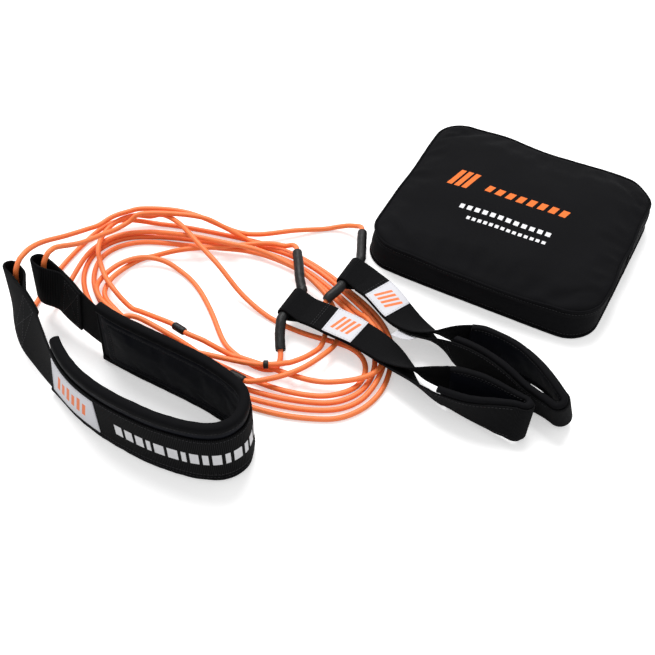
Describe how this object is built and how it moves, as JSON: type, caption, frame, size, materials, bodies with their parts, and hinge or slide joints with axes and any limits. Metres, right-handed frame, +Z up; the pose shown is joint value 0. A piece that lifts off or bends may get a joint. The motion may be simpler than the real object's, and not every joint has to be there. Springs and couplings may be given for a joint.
{
  "type": "resistance sprint trainer",
  "caption": "Padded waist belt and padded hand straps linked by looped elastic cords that run through hoses and sewn tunnels, laid out beside a zipped storage pouch.",
  "frame": {"origin": "middle of the footprint of everything but the cords, on the surface that it lies on", "axes": "+Z up; +X along the pouch's front and towards the hand straps' free ends; +Y from the belt towards the pouch"},
  "size_m": [0.6111, 0.6183, 0.0952],
  "materials": {
    "ribbed_webbing": "black ribbed polyester webbing, matte",
    "padded_foam": "smooth blue-black knit over foam, soft sheen",
    "binding_tape": "black woven tape, matte",
    "woven_label": "white satin label with a plain orange pattern",
    "elastic_cord": "bright orange braided cover over elastic",
    "grey_hose": "dark grey satin hose and sleeves",
    "pouch_fabric": "matte black woven nylon",
    "zip_plastic": "black moulded teeth",
    "dark_metal": "black painted slider and puller"
  },
  "bodies": {
    "root": {"belt_webbing": "ribbed_webbing", "belt_pad": "padded_foam", "belt_pad_lining": "padded_foam", "belt_edge_tape_top": "binding_tape", "belt_edge_tape_bottom": "binding_tape", "belt_label": "woven_label", "cord_1": "elastic_cord", "cord_2": "elastic_cord", "cord_2_short": "elastic_cord", "splice_1": "grey_hose", "splice_2a": "grey_hose", "splice_2b": "grey_hose", "hose_1": "grey_hose", "hose_2": "grey_hose", "pouch_base": "pouch_fabric", "pouch_hinge_strip": "pouch_fabric", "piping_bottom": "binding_tape", "zip_tape_lower": "binding_tape", "zip_teeth_lower": "zip_plastic", "zip_end_tab_left": "binding_tape", "zip_end_tab_right": "binding_tape"},
    "strap_1": {"strap_1_webbing": "ribbed_webbing", "strap_1_pad": "padded_foam", "strap_1_edge_tape_top": "binding_tape", "strap_1_edge_tape_bottom": "binding_tape", "strap_1_label": "woven_label"},
    "strap_2": {"strap_2_webbing": "ribbed_webbing", "strap_2_pad": "padded_foam", "strap_2_edge_tape_top": "binding_tape", "strap_2_edge_tape_bottom": "binding_tape", "strap_2_label": "woven_label", "strap_2_care_label": "woven_label"},
    "pouch_lid": {"pouch_lid": "pouch_fabric", "piping_top": "binding_tape", "zip_tape_upper": "binding_tape", "zip_teeth_upper": "zip_plastic"},
    "zip_slider": {"zip_slider": "dark_metal"},
    "zip_puller": {"zip_puller": "dark_metal"}
  },
  "joints": [
    {"name": "strap_1_lift", "type": "hinge", "parent": "root", "child": "strap_1", "pos_m": [-0.0269, -0.0674, 0.024], "axis": [0, -1, 0], "range_deg": [0, 60]},
    {"name": "strap_2_lift", "type": "hinge", "parent": "root", "child": "strap_2", "pos_m": [0.0081, 0.0056, 0.025], "axis": [0, -1, 0], "range_deg": [0, 60]},
    {"name": "lid_open", "type": "hinge", "parent": "root", "child": "pouch_lid", "pos_m": [0.1371, 0.0511, 0.03], "axis": [1, 0, 0], "range_deg": [0, 90]},
    {"name": "zip_run", "type": "slide", "parent": "root", "child": "zip_slider", "axis": [1, 0, 0], "range_m": [0, 0.205]},
    {"name": "puller_swing", "type": "hinge", "parent": "zip_slider", "child": "zip_puller", "pos_m": [0.0346, 0.30715, 0.026], "axis": [0, 0, -1], "range_deg": [0, 170]}
  ]
}
